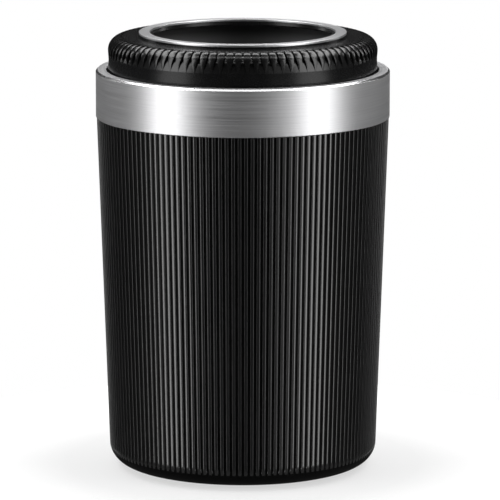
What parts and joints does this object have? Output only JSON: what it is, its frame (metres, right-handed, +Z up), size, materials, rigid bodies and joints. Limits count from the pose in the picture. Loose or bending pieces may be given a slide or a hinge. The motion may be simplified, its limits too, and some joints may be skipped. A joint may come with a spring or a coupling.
{
  "type": "car ashtray",
  "caption": "Round ashtray that stands in a car's cup holder: a tapered ribbed cup with a metal trim band, a drop-in liner, and a pull-off lid with a pleated shoulder and an open mouth.",
  "frame": {"origin": "centre of the base pad's lower face, where the ashtray stands", "axes": "+Z up along the round axis and out of the mouth; X and Y lie in the surface it stands on"},
  "size_m": [0.074, 0.074, 0.1107],
  "materials": {
    "cup_plastic": "satin black moulded plastic with fine upright ribs",
    "pad_rubber": "matte black non-slip rubber",
    "band_metal": "aluminium brushed around the band",
    "liner_metal": "heat-proof black coating on thin sheet steel",
    "lid_plastic": "satin black soft-touch plastic with a fine grain",
    "ring_metal": "fine satin aluminium"
  },
  "bodies": {
    "cup": {"outer_cup": "cup_plastic", "base_pad": "pad_rubber", "trim_band": "band_metal", "ash_liner": "liner_metal"},
    "lid": {"lid_collar": "lid_plastic", "mouth_ring": "ring_metal"}
  },
  "joints": [
    {"name": "lid_lift", "type": "slide", "parent": "cup", "child": "lid", "axis": [0, 0, 1], "range_m": [0, 0.03]}
  ]
}
